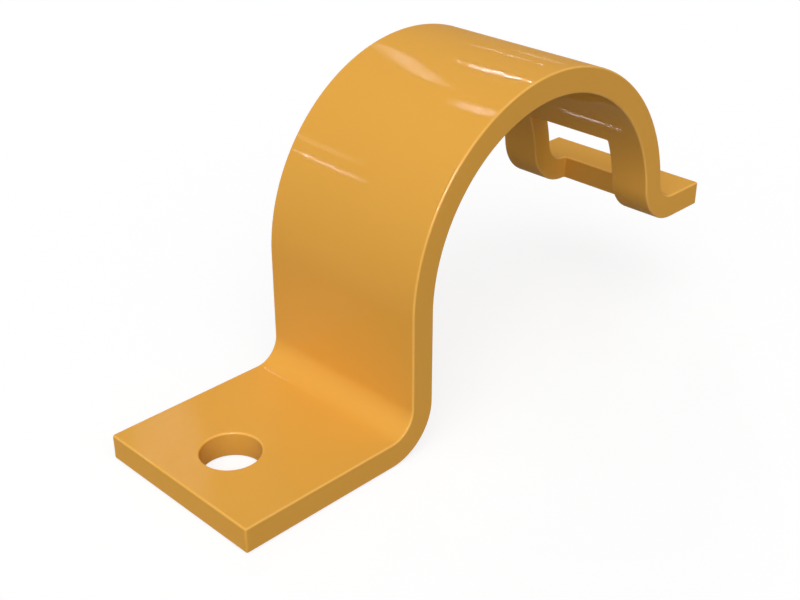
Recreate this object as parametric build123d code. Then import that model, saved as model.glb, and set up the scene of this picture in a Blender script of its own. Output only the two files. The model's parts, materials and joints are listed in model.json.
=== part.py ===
from build123d import *
import math
import os

# Pipe clip: one length of steel strip, punched and folded into a saddle, with a bolted foot at
# one end and a slotted catch foot, which hooks over a tongue, at the other.
# The origin is on the pipe's axis, halfway across the strip. +Y runs along the pipe, +X points
# from the bolted foot to the catch foot, and +Z points away from the wall. All sizes are in mm.

# The strip
strip_thickness = 3.22  # 3 mm steel and its coat
strip_width = 24.24
edge_radius = 0.25  # smoothed edges, on both faces and round every hole

# The saddle over the pipe
seat_radius = 20.0  # a 40 mm pipe lies under the strip

# The bolted foot
foot_drop = 17.7  # from the pipe's axis down to the foot's underside
foot_length = 24.55  # from the leg's outer face to the foot's end
foot_fold_radius = 3.2  # inside of the fold, on the foot's top
bolt_hole_diameter = 7.1
bolt_hole_margin = 7.65  # from the foot's end to the hole's centre

# The catch foot
catch_drop = 3.2  # from the pipe's axis down to the catch's underside
catch_length = 9.05  # from the saddle's outermost line to the catch's end
catch_fold_radius = 3.3  # inside of the fold, on the catch's top
slot_width = 12.95
slot_rise = 8.3  # from the pipe's axis up to the slot's top edge, on the seat
slot_bar = 5.55  # solid bar between the slot and the catch's end
slot_corner_radius = 0.4

punch_overrun = 1.0  # how far a punch passes each face of the strip
sharp_turn = 45  # degrees between two faces, past which their shared edge is smoothed

# Places along the strip
back_radius = seat_radius + strip_thickness
foot_end = -(back_radius + foot_length)
catch_end = back_radius + catch_length
bolt_hole_x = foot_end + bolt_hole_margin
slot_end = catch_end - slot_bar
slot_angle = math.asin(slot_rise / seat_radius)

# Centres of the two folds, which both faces of the strip share. The saddle runs straight into
# the catch's fold, so that fold's centre lies one fold outside the saddle's back.
foot_fold_x = -(back_radius + foot_fold_radius)
foot_fold_z = -foot_drop + strip_thickness + foot_fold_radius
catch_fold_reach = back_radius + catch_fold_radius
catch_fold_z = -catch_drop + strip_thickness + catch_fold_radius
catch_fold_x = math.sqrt(catch_fold_reach**2 - catch_fold_z**2)
saddle_end = math.degrees(math.asin(catch_fold_z / catch_fold_reach))


def strip_face(lift):
    """One face of the folded strip, seen from the side, at a height above its underside."""
    saddle_radius = seat_radius + lift
    foot_fold = foot_fold_radius + strip_thickness - lift
    catch_fold = catch_fold_radius + strip_thickness - lift
    return [
        Line((foot_end, -foot_drop + lift), (foot_fold_x, -foot_drop + lift)),
        CenterArc((foot_fold_x, foot_fold_z), foot_fold, 270, 90),
        Line((-saddle_radius, foot_fold_z), (-saddle_radius, 0)),
        CenterArc((0, 0), saddle_radius, saddle_end, 180 - saddle_end),
        CenterArc((catch_fold_x, catch_fold_z), catch_fold, 180 + saddle_end, 90 - saddle_end),
        Line((catch_fold_x, -catch_drop + lift), (catch_end, -catch_drop + lift)),
    ]


def cut_end(x, underside):
    """The sheared end of a foot, seen from the side."""
    return Line((x, underside), (x, underside + strip_thickness))


def folded_strip():
    """The whole strip, folded, with no holes in it yet."""
    with BuildPart() as strip:
        with BuildSketch(Plane.XZ):
            with BuildLine():
                add(strip_face(0))
                add(strip_face(strip_thickness))
                add(cut_end(foot_end, -foot_drop))
                add(cut_end(catch_end, -catch_drop))
            make_face()
        extrude(amount=strip_width / 2, both=True)
    return strip.part


def bolt_punch():
    """Makes the round hole through the bolted foot."""
    middle = -foot_drop + strip_thickness / 2
    length = strip_thickness + 2 * punch_overrun
    return Pos(bolt_hole_x, 0, middle) * Cylinder(bolt_hole_diameter / 2, length)


def slot_punch():
    """Makes the slot, which runs from the saddle's flank, through the fold, into the catch foot.

    Both of its ends are square to the strip: the top end points at the pipe's axis, and the
    bottom end is upright.
    """
    outward = Vector(math.cos(slot_angle), math.sin(slot_angle))
    inner = outward * (seat_radius - punch_overrun)
    middle = outward * (seat_radius + strip_thickness / 2)
    outer = outward * (back_radius + punch_overrun)
    below = -catch_drop - punch_overrun
    outline = [inner, outer, (slot_end, outer.Y), (slot_end, below), (inner.X, below)]
    with BuildPart() as punch:
        with BuildSketch(Plane.XZ):
            with BuildLine():
                Polyline(outline, close=True)
            make_face()
        extrude(amount=slot_width / 2, both=True)
        top_end = punch.faces().sort_by_distance((middle.X, 0, middle.Y))[0]
        bottom_end = punch.faces().sort_by(Axis.X)[-1]
        corners = (top_end.edges() + bottom_end.edges()).filter_by(Axis.Y, reverse=True)
        fillet(corners, slot_corner_radius)
    return punch.part


def foot_corners(strip):
    """The upright edges at the outer corners of the two feet."""
    uprights = strip.edges().filter_by(Axis.Z).group_by(Axis.X)
    return uprights[0] + uprights[-1]


def rims(strip):
    """The sharp edges where a face of the strip meets a cut wall."""
    faces_at = {}
    for face in strip.faces():
        for edge in face.edges():
            faces_at.setdefault(edge, []).append(face)
    sharp = []
    for edge, faces in faces_at.items():
        normals = [face.normal_at(edge @ 0.5) for face in faces]
        if normals[0].get_angle(normals[-1]) > sharp_turn:
            sharp.append(edge)
    return sharp


strap = folded_strip() - bolt_punch() - slot_punch()
strap = fillet(foot_corners(strap), edge_radius)
strap = fillet(rims(strap), edge_radius)

os.makedirs("parts", exist_ok=True)
export_step(strap, "parts/clip_strap.step")
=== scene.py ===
import json
import math

import bpy
from mathutils import Matrix, Vector


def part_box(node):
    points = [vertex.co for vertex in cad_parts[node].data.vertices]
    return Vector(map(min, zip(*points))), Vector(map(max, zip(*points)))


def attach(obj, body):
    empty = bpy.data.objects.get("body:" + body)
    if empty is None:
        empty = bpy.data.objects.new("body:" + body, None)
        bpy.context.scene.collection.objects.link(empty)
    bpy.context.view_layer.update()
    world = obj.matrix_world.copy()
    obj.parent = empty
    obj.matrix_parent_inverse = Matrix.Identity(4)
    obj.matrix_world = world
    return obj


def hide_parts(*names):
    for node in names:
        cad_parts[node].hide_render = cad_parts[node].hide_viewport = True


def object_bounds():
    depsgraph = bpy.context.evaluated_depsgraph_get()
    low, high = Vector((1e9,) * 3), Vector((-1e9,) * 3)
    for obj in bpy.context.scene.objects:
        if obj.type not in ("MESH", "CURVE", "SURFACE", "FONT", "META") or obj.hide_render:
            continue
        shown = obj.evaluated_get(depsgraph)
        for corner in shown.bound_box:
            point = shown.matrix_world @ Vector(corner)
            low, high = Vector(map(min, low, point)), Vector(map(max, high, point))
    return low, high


# The pipe clip is one strip of coated steel. It is made here as in a press shop: a flat blank is
# cut and punched, its edges are smoothed, and then it is folded into shape.

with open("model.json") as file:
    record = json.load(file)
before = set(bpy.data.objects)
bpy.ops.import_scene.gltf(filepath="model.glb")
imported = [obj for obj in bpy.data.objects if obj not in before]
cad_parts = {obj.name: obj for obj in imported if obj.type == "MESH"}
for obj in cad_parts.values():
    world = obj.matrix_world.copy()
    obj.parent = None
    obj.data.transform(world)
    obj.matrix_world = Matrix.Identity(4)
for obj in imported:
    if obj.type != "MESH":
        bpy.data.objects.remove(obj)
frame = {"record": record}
cadBox = [list(corner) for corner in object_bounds()]
print("frame loaded")

mmPerMetre = 1000
white = (1.0, 1.0, 1.0, 1.0)


class Wire:  # an output socket: a sum on it adds its own Math node
    def __init__(self, graph, socket):
        self.graph = graph
        self.socket = socket

    def maths(self, operation, *values):
        sockets = dict(enumerate(values))
        return self.graph.node("ShaderNodeMath", {"operation": operation}, sockets)["Value"]

    def __add__(self, other):
        return self.maths("ADD", self, other)

    def __radd__(self, other):
        return self.maths("ADD", other, self)

    def __sub__(self, other):
        return self.maths("SUBTRACT", self, other)

    def __rsub__(self, other):
        return self.maths("SUBTRACT", other, self)

    def __mul__(self, other):
        return self.maths("MULTIPLY", self, other)

    def __rmul__(self, other):
        return self.maths("MULTIPLY", other, self)

    def __truediv__(self, other):
        return self.maths("DIVIDE", self, other)

    def __rtruediv__(self, other):
        return self.maths("DIVIDE", other, self)

    def __neg__(self):
        return self.maths("MULTIPLY", self, -1.0)

    def __lt__(self, other):
        return self.maths("LESS_THAN", self, other)

    def __gt__(self, other):
        return self.maths("GREATER_THAN", self, other)

    def __abs__(self):
        return self.maths("ABSOLUTE", self)

    def atLeast(self, other):
        return self.maths("MAXIMUM", self, other)

    def atMost(self, other):
        return self.maths("MINIMUM", self, other)

    def sine(self):
        return self.maths("SINE", self)

    def cosine(self):
        return self.maths("COSINE", self)


class Graph:  # a shader or geometry tree that is built in code
    def __init__(self, tree):
        self.tree = tree

    def node(self, kind, settings=None, sockets=None):
        made = self.tree.nodes.new(kind)
        for name, value in (settings or {}).items():
            setattr(made, name, value)
        for key, value in (sockets or {}).items():
            target = self.find(made.inputs, key)
            for part in value if isinstance(value, list) else [value]:
                if isinstance(part, Wire):
                    self.tree.links.new(part.socket, target)
                else:
                    target.default_value = part
        return {s.name: Wire(self, s) for s in reversed(made.outputs) if s.enabled}

    def find(self, sockets, key):
        if isinstance(key, int):
            return sockets[key]
        return next(s for s in sockets if s.enabled and s.name == key)

    def vector(self, x=0.0, y=0.0, z=0.0):
        return self.node("ShaderNodeCombineXYZ", None, {"X": x, "Y": y, "Z": z})["Vector"]

    def split(self, vector):
        parts = self.node("ShaderNodeSeparateXYZ", None, {"Vector": vector})
        return parts["X"], parts["Y"], parts["Z"]


def geometryGraph(name, sizes, takesShape):
    tree = bpy.data.node_groups.new(name, "GeometryNodeTree")
    if takesShape:
        tree.interface.new_socket("Shape", in_out="INPUT", socket_type="NodeSocketGeometry")
    for label in sizes:
        tree.interface.new_socket(label, in_out="INPUT", socket_type="NodeSocketFloat")
    tree.interface.new_socket("Shape", in_out="OUTPUT", socket_type="NodeSocketGeometry")
    graph = Graph(tree)
    return graph, graph.node("NodeGroupInput")


# The strap. Its sizes are in mm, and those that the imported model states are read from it.
strapSizes = {
    "edgeRadius": 0.25,  # smoothed edges
    "footFold": 3.2,  # inside of the fold by the bolted foot
    "catchFold": 3.3,  # inside of the fold by the catch foot
    "slotWidth": 12.95,
    "slotRise": 8.3,  # from the pipe's axis up to the slot's top edge, on the seat
    "slotBar": 5.55,  # bar left between the slot and the catch's end
    "slotCorner": 0.15,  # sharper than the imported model's, as the photograph shows it
    "blankCorner": 0.02,  # a corner of the flat face, round which the edge turns
    "rungStep": 0.25,  # between the lines across the strip along which it bends
    "spare": 2.0,  # how far the uncut plate and the cutting blocks reach past the blank
    "blockWeld": 1e-4,  # points of a cutting block nearer than this are one
    "rimWeld": 1e-3,  # the same for the strip, where its underside meets the edges
    "rimSteps": 5,  # faces round a quarter of an edge
    "holeSides": 96,
    "cornerSides": 6,
    "topRise": 0.5,  # the blank's top is the faces whose normal rises by more than this
    "shadingWeight": 100,  # how far the wide faces rule the shading
}


def measureStrap(sizes):
    mounts = {mount["name"]: mount for mount in frame["record"]["mounts"]}
    low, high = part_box("clip_strap")
    seat = mounts["pipe_seat"]["dims"]["r_mm"]
    thickness = high.z * mmPerMetre - seat
    footEnd, catchEnd = low.x * mmPerMetre, high.x * mmPerMetre
    footDrop = -low.z * mmPerMetre
    catchDrop = -mounts["catch_face"]["pos_m"][2] * mmPerMetre

    # Where the flat blank will be folded, along its middle
    middle = thickness / 2
    back = seat + thickness
    footFoldHeight = thickness + sizes["footFold"] - footDrop
    catchFoldHeight = thickness + sizes["catchFold"] - catchDrop
    catchReach = back + sizes["catchFold"]
    saddleEnd = math.asin(catchFoldHeight / catchReach)
    catchFoldX = math.sqrt(catchReach**2 - catchFoldHeight**2)
    footFoldStart = -(back + sizes["footFold"]) - footEnd
    saddleStart = footFoldStart + (sizes["footFold"] + middle) * math.pi / 2 - footFoldHeight
    saddleTurn = math.pi - saddleEnd
    catchFoldStart = saddleStart + (seat + middle) * saddleTurn
    catchTurn = math.pi / 2 - saddleEnd
    catchFoldEnd = catchFoldStart + (sizes["catchFold"] + middle) * catchTurn
    length = catchFoldEnd + catchEnd - catchFoldX
    slotTurn = math.pi - math.asin(sizes["slotRise"] / seat)
    return {
        "Length": length,
        "Width": (high.y - low.y) * mmPerMetre,
        "Thickness": thickness,
        "Edge radius": sizes["edgeRadius"],
        "Hole place": mounts["bolt_hole"]["pos_m"][0] * mmPerMetre - footEnd,
        "Hole radius": mounts["bolt_hole"]["dims"]["r_mm"],
        "Slot start": saddleStart + (seat + middle) * slotTurn,
        "Slot end": length - sizes["slotBar"],
        "Slot width": sizes["slotWidth"],
        "Slot corner": sizes["slotCorner"],
        "Foot fold start": footFoldStart,
        "Foot fold radius": sizes["footFold"] + middle,
        "Foot fold turn": math.pi / 2,
        "Saddle start": saddleStart,
        "Saddle radius": -(seat + middle),
        "Saddle turn": -saddleTurn,
        "Catch fold start": catchFoldStart,
        "Catch fold radius": sizes["catchFold"] + middle,
        "Catch fold turn": catchTurn,
        "Catch fold end": catchFoldEnd,
        "Foot end": footEnd,
        "Foot middle": middle - footDrop,
        "Rung step": sizes["rungStep"],
    }


def join(graph, shapes, weld):  # points nearer than the weld become one
    whole = graph.node("GeometryNodeJoinGeometry", None, {"Geometry": shapes})["Geometry"]
    sockets = {"Geometry": whole, "Distance": weld}
    return graph.node("GeometryNodeMergeByDistance", None, sockets)["Geometry"]


def move(graph, shape, offset):
    sockets = {"Geometry": shape, "Translation": offset}
    return graph.node("GeometryNodeTransform", None, sockets)["Geometry"]


def store(graph, shape, name, kind, value, points=True):  # a value that the points keep
    return graph.node("GeometryNodeStoreNamedAttribute", {"data_type": kind, "domain": "POINT"}, {
        "Geometry": shape, "Selection": points, "Name": name, "Value": value})["Geometry"]


def prism(graph, outline, height, weld):  # a closed block, halfway through the strip
    lid = graph.node("GeometryNodeFillCurve", {"mode": "NGONS"}, {"Curve": outline})["Mesh"]
    wall = graph.node("GeometryNodeExtrudeMesh", {"mode": "FACES"}, {
        "Mesh": lid, "Offset": graph.vector(z=height), "Individual": False})["Mesh"]
    base = graph.node("GeometryNodeFlipFaces", None, {"Mesh": lid})["Mesh"]
    return move(graph, join(graph, [wall, base], weld), graph.vector(z=height * -0.5))


def roundedOutline(graph, length, width, corner, middle, sides):
    box = graph.node("GeometryNodeCurvePrimitiveQuadrilateral", {"mode": "RECTANGLE"}, {
        "Width": length, "Height": width})["Curve"]
    soft = graph.node("GeometryNodeFilletCurve", {"mode": "POLY"}, {
        "Curve": box, "Count": sides, "Radius": corner, "Limit Radius": True})["Curve"]
    return move(graph, soft, graph.vector(x=middle))


def plateWithRungs(graph, size, spare):  # reaches past the blank, which is cut out of it
    first, last = size["Foot fold start"], size["Catch fold end"]
    run = (last - first) / size["Rung step"]
    gaps = run.maths("CEIL", run)
    box = graph.node("GeometryNodeMeshCube", None, {
        "Size": (1.0, 1.0, 1.0),
        "Vertices X": gaps + 3.0, "Vertices Y": 2, "Vertices Z": 2})["Mesh"]
    x, y, z = graph.split(graph.node("GeometryNodeInputPosition")["Position"])

    # The first and the last rung are the plate's ends, and the others lie evenly between the folds
    rung = (x + 0.5) * (gaps + 2.0)
    place = first + (rung - 1.0) * (last - first) / gaps
    place = place + (rung < 0.5) * (-place - spare)
    place = place + (rung > gaps + 1.5) * (size["Length"] + spare - place)
    spot = graph.vector(place, y * (size["Width"] + spare * 2.0), z * size["Thickness"])
    sockets = {"Geometry": box, "Position": spot}
    return graph.node("GeometryNodeSetPosition", None, sockets)["Geometry"]


def cut(graph, block, punches):
    return graph.node("GeometryNodeMeshBoolean", {"operation": "DIFFERENCE", "solver": "EXACT"}, {
        "Mesh 1": block, "Mesh 2": punches})["Mesh"]


def common(graph, blocks):
    return graph.node("GeometryNodeMeshBoolean", {"operation": "INTERSECT", "solver": "EXACT"}, {
        1: blocks})["Mesh"]


def punchedFace(graph, size, sizes):  # the blank's flat top, short of its rounded edges
    soft, sides = size["Edge radius"], sizes["cornerSides"]
    slotStart, slotEnd = size["Slot start"], size["Slot end"]
    tall = size["Thickness"] + sizes["spare"] * 2.0
    plate = plateWithRungs(graph, size, sizes["spare"])
    outline = roundedOutline(
        graph, size["Length"] - soft * 2.0, size["Width"] - soft * 2.0,
        sizes["blankCorner"], size["Length"] * 0.5, sides)
    slot = roundedOutline(
        graph, slotEnd - slotStart + soft * 2.0, size["Slot width"] + soft * 2.0,
        size["Slot corner"] + soft, (slotEnd + slotStart) * 0.5, sides)
    circle = graph.node("GeometryNodeCurvePrimitiveCircle", {"mode": "RADIUS"}, {
        "Resolution": sizes["holeSides"], "Radius": size["Hole radius"] + soft})["Curve"]
    hole = move(graph, circle, graph.vector(x=size["Hole place"]))
    outlineBlock, slotBlock, holeBlock = [
        prism(graph, curve, tall, sizes["blockWeld"]) for curve in (outline, slot, hole)]
    core = common(graph, [plate, outlineBlock])
    core = cut(graph, core, [slotBlock, holeBlock])

    # Each point on a cut remembers which way the cut faces
    x, y, z = graph.split(graph.node("GeometryNodeInputNormal")["Normal"])
    upright = abs(z) < sizes["topRise"]
    settings = {"data_type": "FLOAT_VECTOR", "domain": "FACE"}
    onFace = graph.node("GeometryNodeFieldOnDomain", settings, {
        "Value": graph.vector(x * upright, y * upright)})["Value"]
    outward = graph.node("ShaderNodeVectorMath", {"operation": "NORMALIZE"}, {0: onFace})["Vector"]
    core = store(graph, core, "outward", "FLOAT_VECTOR", outward)
    return graph.node("GeometryNodeDeleteGeometry", {"domain": "FACE", "mode": "ALL"}, {
        "Geometry": core, "Selection": z < sizes["topRise"]})["Geometry"]


def roundRim(graph, face, size, sizes):  # from the top's border round the edge to the underside
    outward = graph.node("GeometryNodeInputNamedAttribute", {"data_type": "FLOAT_VECTOR"}, {
        "Name": "outward"})["Attribute"]
    outX, outY = graph.split(outward)[:2]
    neighbours = graph.node("GeometryNodeInputMeshEdgeNeighbors")["Face Count"]
    border = neighbours < 1.5  # only one face
    steps, soft = sizes["rimSteps"], size["Edge radius"]
    quarter = [k * math.pi / 2 / steps for k in range(steps + 1)]
    turns = [
        (math.sin(b) - math.sin(a), math.cos(a) - math.cos(b))
        for a, b in zip(quarter, quarter[1:])]
    moves = [(soft * out, soft * down) for out, down in turns]
    moves += [(0.0, size["Thickness"] - soft * 2.0)]
    moves += [(soft * -out, soft * down) for out, down in reversed(turns)]
    onEdge = [math.sin(2 * turn) for turn in quarter[1:]]  # 1 halfway round an edge, 0 at its ends
    shape = face
    for (out, down), edge in zip(moves, onEdge + [0.0] + onEdge):
        grown = graph.node("GeometryNodeExtrudeMesh", {"mode": "EDGES"}, {
            "Mesh": shape, "Selection": border, "Offset Scale": 0.0})
        border = grown["Top"]
        step = graph.vector(outX * out, outY * out, down * -1.0)
        shape = graph.node("GeometryNodeSetPosition", None, {
            "Geometry": grown["Mesh"], "Selection": border, "Offset": step})["Geometry"]
        shape = store(graph, shape, "edge", "FLOAT", edge, border)
    underside = graph.node("GeometryNodeFlipFaces", None, {"Mesh": face})["Mesh"]
    underside = move(graph, underside, graph.vector(z=size["Thickness"] * -1.0))
    return join(graph, [shape, underside], sizes["rimWeld"])


def makeFoldTree():  # bends all that lies past the start, upwards for a radius and turn above zero
    graph, given = geometryGraph("fold", ["Start", "Radius", "Turn"], True)
    x, y, z = graph.split(graph.node("GeometryNodeInputPosition")["Position"])
    past = (x - given["Start"]).atLeast(0.0)
    before = (x - given["Start"]).atMost(0.0)
    bent = past.atMost(given["Radius"] * given["Turn"])
    angle = bent / given["Radius"]
    straight = past - bent
    reach = given["Radius"] - z
    newX = given["Start"] + before + reach * angle.sine() + straight * angle.cosine()
    newZ = given["Radius"] - reach * angle.cosine() + straight * angle.sine()
    shape = graph.node("GeometryNodeSetPosition", None, {
        "Geometry": given["Shape"], "Position": graph.vector(newX, y, newZ)})["Geometry"]
    graph.node("NodeGroupOutput", None, {"Shape": shape})
    return graph.tree


def makeStrapTree(sizes, measures, coat):
    foldTree = makeFoldTree()
    graph, size = geometryGraph("folded strap", list(measures), False)
    shape = roundRim(graph, punchedFace(graph, size, sizes), size, sizes)
    for fold in ("Catch fold", "Saddle", "Foot fold"):
        shape = graph.node("GeometryNodeGroup", {"node_tree": foldTree}, {
            "Shape": shape, "Start": size[fold + " start"], "Radius": size[fold + " radius"],
            "Turn": size[fold + " turn"]})["Shape"]
    shape = move(graph, shape, graph.vector(size["Foot end"], 0.0, size["Foot middle"]))
    for kind, settings, sockets in (
            ("GeometryNodeTransform", None, {"Scale": (1 / mmPerMetre,) * 3}),
            ("GeometryNodeSetShadeSmooth", {"domain": "FACE"}, {}),
            ("GeometryNodeRealizeInstances", None, {}),
            ("GeometryNodeSetMaterial", None, {"Material": coat})):
        shape = graph.node(kind, settings, {"Geometry": shape, **sockets})["Geometry"]
    graph.node("NodeGroupOutput", None, {"Shape": shape})
    return graph.tree


def makeStrap(sizes, coat):
    measures = measureStrap(sizes)
    tree = makeStrapTree(sizes, measures, coat)
    draft = bpy.data.objects.new("strapDraft", bpy.data.meshes.new("strapDraft"))
    bpy.context.scene.collection.objects.link(draft)
    press = draft.modifiers.new("press", "NODES")
    press.node_group = tree
    for socket in tree.interface.items_tree:
        if socket.item_type == "SOCKET" and socket.in_out == "INPUT":
            press[socket.identifier] = float(measures[socket.name])
    shading = draft.modifiers.new("shading", "WEIGHTED_NORMAL")
    shading.weight = sizes["shadingWeight"]
    shading.keep_sharp = False
    depsgraph = bpy.context.evaluated_depsgraph_get()
    mesh = bpy.data.meshes.new_from_object(draft.evaluated_get(depsgraph))
    bpy.data.objects.remove(draft)
    mesh.name = "strap"
    mesh.attributes.remove(mesh.attributes["outward"])
    strap = bpy.data.objects.new("strap", mesh)
    bpy.context.scene.collection.objects.link(strap)
    return strap


# The coat: amber gloss enamel, with the faint ripple and grain that a sprayed coat has
coatLook = {
    "amber": (0.815, 0.410, 0.068, 1.0),
    "deepAmber": (0.785, 0.390, 0.062, 1.0),
    "cloudScale": 55.0,  # features per metre of the slow change of colour
    "cloudDetail": 2.0,
    "grainScale": 2900.0,
    "rippleScale": 900.0,
    "fineDetail": 1.0,  # of the grain and the ripple
    "noiseRoughness": 0.5,
    "cloudShare": 0.7,  # of the change of colour
    "grainShare": 0.3,
    "deepestShade": 0.2,  # where the colour starts to change from deep amber
    "shadeSpan": 0.6,
    "grainHeight": 4.6e-6,  # metres
    "rippleHeight": 4.0e-6,
    "roughness": 0.03,
    "roughnessSpread": 0.03,
    "shine": 0.5,  # specular level of the part that shines
    "gloss": 0.09,  # share of the surface that shines
    "leastGloss": 0.2,  # part of that share which the hollows of the grain keep
    "fleckGloss": 0.3,  # how much more it shines on the crests of the grain
    "fleckLevel": 0.52,  # the grain's level at which a crest starts
    "edgeGloss": 0.25,  # how much more it shines on the smoothed edges
    # A painted highlight: the smoothed edges are painted a lighter amber than the coat
    "edgeAmber": (0.895, 0.475, 0.09, 1.0),  # its colour there, chosen to match the photograph
}


def makeCoat(look):
    material = bpy.data.materials.new("amberCoat")
    material.use_nodes = True
    material.node_tree.nodes.clear()
    graph = Graph(material.node_tree)
    place = graph.node("ShaderNodeTexCoord")["Object"]

    def noise(scale, detail):
        return graph.node("ShaderNodeTexNoise", None, {
            "Vector": place, "Scale": scale, "Detail": detail,
            "Roughness": look["noiseRoughness"]})["Fac"]

    def blend(factor, first, second):
        return graph.node("ShaderNodeMix", {"data_type": "RGBA"}, {
            "Factor": factor, "A": first, "B": second})["Result"]

    clouds = noise(look["cloudScale"], look["cloudDetail"])
    grain = noise(look["grainScale"], look["fineDetail"])
    ripple = noise(look["rippleScale"], look["fineDetail"])
    shade = clouds * look["cloudShare"] + grain * look["grainShare"] - look["deepestShade"]
    colour = blend(shade / look["shadeSpan"], look["deepAmber"], look["amber"])
    # Painted highlight: the smoothed edges are blended towards a lighter amber
    edge = graph.node("ShaderNodeAttribute", {"attribute_name": "edge"})["Fac"]
    colour = blend(edge, colour, look["edgeAmber"])
    height = grain * look["grainHeight"] + ripple * look["rippleHeight"]
    normal = graph.node("ShaderNodeBump", None, {
        "Strength": 1.0, "Distance": 1.0, "Height": height})["Normal"]
    even = {
        "Base Color": colour, "Roughness": look["roughness"] + look["roughnessSpread"] * clouds,
        "Normal": normal}
    dull, shiny = [
        graph.node("ShaderNodeBsdfPrincipled", None, {**even, "Specular IOR Level": level})["BSDF"]
        for level in (0.0, look["shine"])]
    share = look["gloss"] + look["fleckGloss"] * (grain - look["fleckLevel"])
    share = share.atLeast(look["gloss"] * look["leastGloss"]) + look["edgeGloss"] * edge
    shader = graph.node("ShaderNodeMixShader", None, {0: share, 1: dull, 2: shiny})["Shader"]
    graph.node("ShaderNodeOutputMaterial", None, {"Surface": shader})
    return material


strap = makeStrap(strapSizes, makeCoat(coatLook))
print("strap folded", len(strap.data.polygons), "faces")

# The camera stands where the photograph's did
cameraPlace = {
    "place": (-0.109204, -0.096009, 0.068137),
    "heading": 45.0,  # degrees from +X towards +Y
    "dip": 28.483,  # degrees below level
    "lens": 56.857,
    "sensor": 36.0,
    "near": 0.005,  # metres, as far is
    "far": 20.0,
}


def makeCamera(look):
    data = bpy.data.cameras.new("camera")
    data.lens = look["lens"]
    data.sensor_width = look["sensor"]
    data.clip_start, data.clip_end = look["near"], look["far"]
    camera = bpy.data.objects.new("camera", data)
    camera.location = look["place"]
    camera.rotation_euler = (math.radians(90 - look["dip"]), 0.0, math.radians(look["heading"] - 90))
    bpy.context.scene.collection.objects.link(camera)
    bpy.context.scene.camera = camera


makeCamera(cameraPlace)


def seenDirectly(graph):  # 1 for what the camera sees, also in a shiny or clear surface
    paths = graph.node("ShaderNodeLightPath")
    seen = paths["Is Camera Ray"].atLeast(paths["Is Glossy Ray"])
    return seen.atLeast(paths["Is Transmission Ray"])


# The floor is pale paper that glows a little, so that the camera sees it nearly white
floorLook = {
    "pale": (0.95, 0.95, 0.95, 1.0),
    "glow": 1.06,
    "glowShare": 0.75,
    "unseen": (0.3, 0.3, 0.3, 1.0),  # what it is for the light that it passes on to the clip
    "half": 4.0,  # metres from its middle to each side
    "gap": 0.0001,  # metres below the clip
}


def makeFloor(look):
    material = bpy.data.materials.new("paleFloor")
    material.use_nodes = True
    material.node_tree.nodes.clear()
    graph = Graph(material.node_tree)
    seen = seenDirectly(graph)
    pale = graph.node("ShaderNodeBsdfDiffuse", None, {"Color": look["pale"]})["BSDF"]
    glow = graph.node("ShaderNodeEmission", None, {
        "Color": white, "Strength": look["glow"]})["Emission"]
    page = graph.node("ShaderNodeMixShader", None, {
        0: look["glowShare"], 1: pale, 2: glow})["Shader"]
    matt = graph.node("ShaderNodeBsdfDiffuse", None, {"Color": look["unseen"]})["BSDF"]
    mixed = graph.node("ShaderNodeMixShader", None, {0: seen, 1: matt, 2: page})["Shader"]
    graph.node("ShaderNodeOutputMaterial", None, {"Surface": mixed})
    half, height = look["half"], cadBox[0][2] - look["gap"]
    mesh = bpy.data.meshes.new("floor")
    corners = [(x * half, y * half, height) for x, y in ((-1, -1), (1, -1), (1, 1), (-1, 1))]
    mesh.from_pydata(corners, [], [(0, 1, 2, 3)])
    mesh.materials.append(material)
    floor = bpy.data.objects.new("floor", mesh)
    bpy.context.scene.collection.objects.link(floor)


makeFloor(floorLook)

# The studio: a pale room with a wide and a narrower soft light over the camera, and small lamps
# for the glints. A lamp's size is the angle that it fills, in degrees, and its turn is in degrees
# too, where it has one. Its glow is 1 where it is as bright as white paper.
softLights = {
    "wide": {"azimuth": 221.5, "elevation": 43.0, "focus": 1.0, "glow": 0.65},
    "narrow": {"azimuth": 221.0, "elevation": 48.0, "focus": 8.0, "glow": 3.05},
}
lampDistance = 2.0
lamps = {
    "highGlint": {"azimuth": 78.0, "elevation": 51.1, "wide": 5.0, "tall": 1.1, "glow": 60.0},
    "mainGlint": {"azimuth": 48.0, "elevation": 34.9, "wide": 4.0, "tall": 0.35, "glow": 330.0},
    "window": {
        "azimuth": 63.3, "elevation": 42.1, "wide": 12.0, "tall": 1.6, "turn": 48.0, "glow": 19.0},
    "leftGlint": {"azimuth": 130.0, "elevation": 23.4, "wide": 6.5, "tall": 0.35, "glow": 150.0},
    "leftWindow": {"azimuth": 126.0, "elevation": 29.2, "wide": 6.0, "tall": 2.2, "glow": 8.5},
    "backGlint": {"azimuth": 39.5, "elevation": 16.5, "wide": 4.0, "tall": 0.35, "glow": 45.0},
    "backWindow": {"azimuth": 36.5, "elevation": 8.0, "wide": 2.5, "tall": 4.0, "glow": 3.0},
    "footHaze": {"azimuth": 59.0, "elevation": 35.3, "wide": 3.6, "tall": 7.0, "glow": 6.0},
}
# Lamps on the camera's side, for the light lines along the smoothed edges. They give no diffuse
# light, and from behind the clip their reflection shows on the saddle too.
edgeLamps = {
    "edgeKey": {
        "azimuth": 217.0, "elevation": 40.0, "wide": 26.0, "tall": 6.0, "turn": 63.0, "glow": 600.0},
    "edgeHaze": {
        "azimuth": 217.0, "elevation": 40.0, "wide": 60.0, "tall": 50.0, "turn": 63.0, "glow": 4.5},
    "edgeSide": {"azimuth": -55.0, "elevation": 38.0, "wide": 20.0, "tall": 60.0, "glow": 1.5},
}
# A thin light strip below the saddle, for the streak on the saddle's inside
insideLamp = {
    "target": (0.0167, -0.005, 0.0109), "distance": 0.028,
    "azimuth": 87.0, "elevation": -56.6, "wide": 0.9, "tall": 20.0, "glow": 2.6,
    "spread": 50.0,  # degrees, a narrow beam
}
wholeSpread = 180.0  # degrees, the beam of a lamp that shines all ways in front of it


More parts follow.
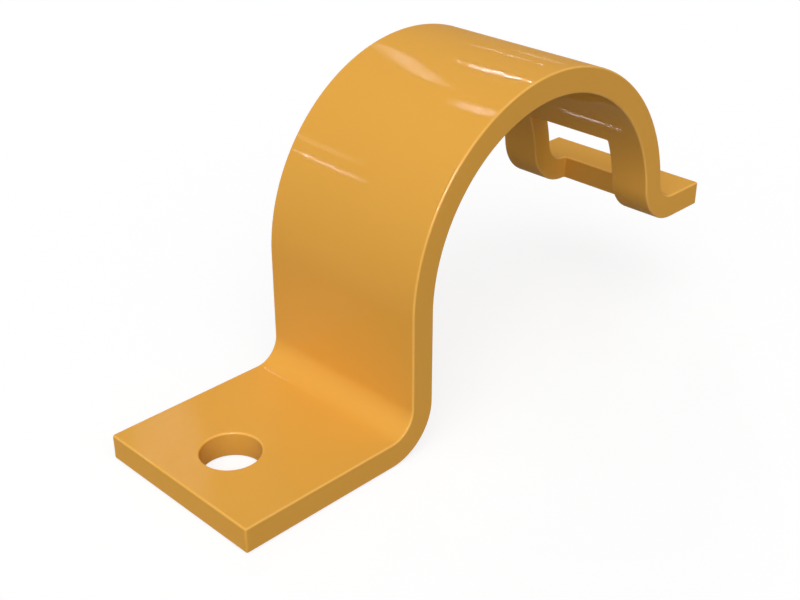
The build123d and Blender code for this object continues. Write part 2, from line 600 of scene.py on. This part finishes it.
def aim(azimuth, elevation):  # the direction at those angles, in degrees, seen from the clip
    turn, rise = math.radians(azimuth), math.radians(elevation)
    return Vector((math.cos(turn) * math.cos(rise), math.sin(turn) * math.cos(rise), math.sin(rise)))


def makeRoom(softLights):
    room = bpy.data.worlds.new("room")
    bpy.context.scene.world = room
    room.use_nodes = True
    room.node_tree.nodes.clear()
    graph = Graph(room.node_tree)
    x, y, z = graph.split(graph.node("ShaderNodeTexCoord")["Generated"])
    light = seenDirectly(graph)
    unseen = 1.0 - light
    for look in softLights.values():
        way = aim(look["azimuth"], look["elevation"])
        facing = (x * way.x + y * way.y + z * way.z).atLeast(0.0)
        light = light + unseen * look["glow"] * facing.maths("POWER", facing, look["focus"])
    glow = graph.node("ShaderNodeBackground", None, {"Strength": light, "Color": white})
    graph.node("ShaderNodeOutputWorld", None, {"Surface": glow["Background"]})


def makeLamp(name, look, target, distance):
    away = aim(look["azimuth"], look["elevation"])
    data = bpy.data.lights.new(name, "AREA")
    data.shape = "ELLIPSE"
    data.size = 2 * distance * math.tan(math.radians(look["wide"]) / 2)
    data.size_y = 2 * distance * math.tan(math.radians(look["tall"]) / 2)
    data.energy = look["glow"] * math.pi * (math.pi / 4 * data.size * data.size_y)
    data.spread = math.radians(look.get("spread", wholeSpread))
    lamp = bpy.data.objects.new(name, data)
    turn = Matrix.Rotation(math.radians(look.get("turn", 0.0)), 3, "Z")
    facing = (-away).to_track_quat("-Z", "Y").to_matrix() @ turn
    lamp.matrix_world = Matrix.Translation(target + away * distance) @ facing.to_4x4()
    lamp.visible_camera = False
    bpy.context.scene.collection.objects.link(lamp)
    return lamp


makeRoom(softLights)
for name, look in lamps.items():
    makeLamp(name, look, Vector(), lampDistance)
for name, look in edgeLamps.items():
    makeLamp(name, look, Vector(), lampDistance).visible_diffuse = False
makeLamp("insideGlint", insideLamp, Vector(insideLamp["target"]), insideLamp["distance"])
print("studio lit")

bpy.context.scene.view_settings.view_transform = "Standard"

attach(strap, "root")
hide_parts("clip_strap")

print("scene ready")
